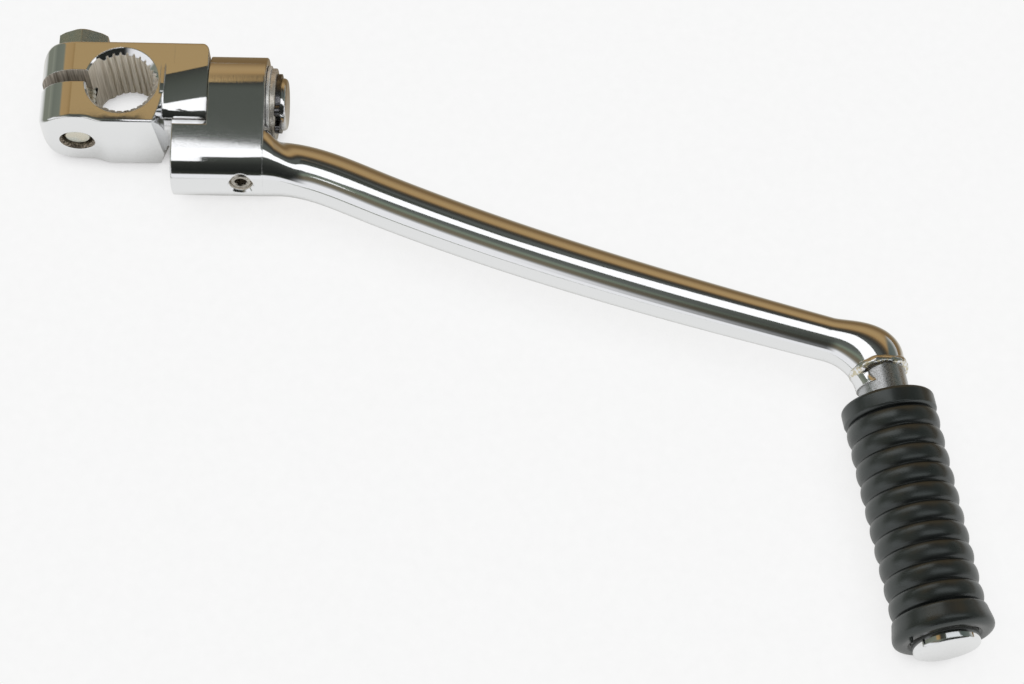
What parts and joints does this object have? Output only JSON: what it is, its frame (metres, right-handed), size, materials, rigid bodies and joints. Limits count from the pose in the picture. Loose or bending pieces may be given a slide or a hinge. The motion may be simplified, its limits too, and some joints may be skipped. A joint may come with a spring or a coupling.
{
  "type": "kick start lever",
  "caption": "Folding kick start lever with a splined split clamp at the hub, a swept bar and a rubber-sleeved foot peg.",
  "frame": {"origin": "centre of the splined clamp bore, on the line of the folding pivot", "axes": "+Z along the clamp bore towards the engine, +X along the folding pivot towards the arm, so that the folded peg points to -Y"},
  "size_m": [0.2479, 0.1697, 0.026],
  "materials": {
    "chromed_boss": "bright chrome plate, with bare steel in the splines",
    "zinc_bolt": "dull zinc plate",
    "zinc_washer": "dull zinc plate",
    "chromed_arm": "bright chrome plate over a polished forging",
    "chromed_peg": "bright chrome plate",
    "black_rubber": "satin moulded",
    "steel_shim": "bright shim steel",
    "steel_washer": "plain steel",
    "dark_clip": "phosphated spring steel",
    "ball_steel": "hardened and polished",
    "spring_wire": "drawn wire",
    "plug_screw": "plain steel with a hexagon socket"
  },
  "bodies": {
    "boss": {"clamp_boss": "chromed_boss", "pinch_bolt": "zinc_bolt", "spring_washer": "zinc_washer", "shim_washer": "steel_shim", "thrust_washer": "steel_washer", "circlip": "dark_clip"},
    "arm": {"kick_arm": "chromed_arm", "foot_peg": "chromed_peg", "peg_rubber": "black_rubber", "detent_spring": "spring_wire", "detent_plug": "plug_screw"},
    "ball": {"detent_ball": "ball_steel"}
  },
  "joints": [
    {"name": "arm_swing", "type": "hinge", "parent": "boss", "child": "arm", "pos_m": [0.025, 0, 0], "axis": [1, 0, 0], "range_deg": [0, 90]},
    {"name": "detent_slide", "type": "slide", "parent": "arm", "child": "ball", "axis": [0, 0.9925, -0.1219], "range_m": [0, 0.0006]}
  ]
}
